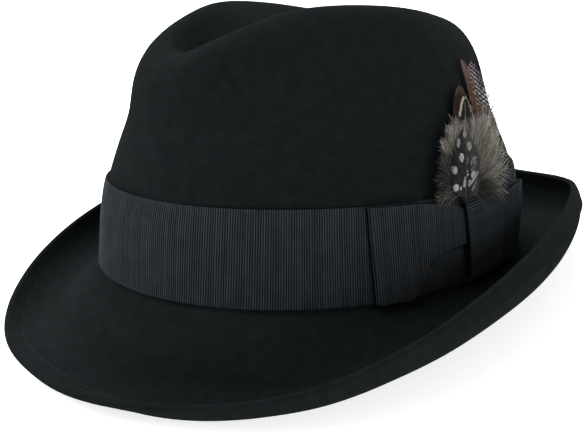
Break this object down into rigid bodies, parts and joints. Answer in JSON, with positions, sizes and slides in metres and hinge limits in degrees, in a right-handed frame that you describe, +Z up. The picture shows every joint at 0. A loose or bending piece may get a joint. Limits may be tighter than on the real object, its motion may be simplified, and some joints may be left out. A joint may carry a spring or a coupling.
{
  "type": "trilby",
  "caption": "Dark felt trilby with a creased and pinched crown, a brim turned up at the back, a wide ribbed ribbon, a flat side bow and a small plume of feathers.",
  "frame": {"origin": "on the surface that the hat lies on, below the middle of the brim's outline", "axes": "+Z up, -Y towards the front of the hat, +X towards the wearer's left, the side of the bow"},
  "size_m": [0.2556, 0.2956, 0.1342],
  "materials": {
    "wool_felt": "short dry nap, charcoal green",
    "grosgrain": "ribbed slate ribbon with a faint sheen",
    "down": "soft taupe down",
    "spotted_vane": "dark feather with round white spots",
    "cream_vane": "dark feather with a cream edge",
    "brown_vane": "red-brown feather",
    "barred_vane": "pale lilac feather with dark bars"
  },
  "bodies": {
    "root": {"felt_body": "wool_felt", "ribbon_band": "grosgrain", "bow_front_wing": "grosgrain", "bow_rear_wing": "grosgrain", "bow_knot": "grosgrain", "feather_fluff": "down", "spotted_feather": "spotted_vane", "chevron_feather": "cream_vane", "brown_feather_short": "brown_vane", "brown_feather_tall": "brown_vane", "barred_feather": "barred_vane"}
  },
  "joints": []
}
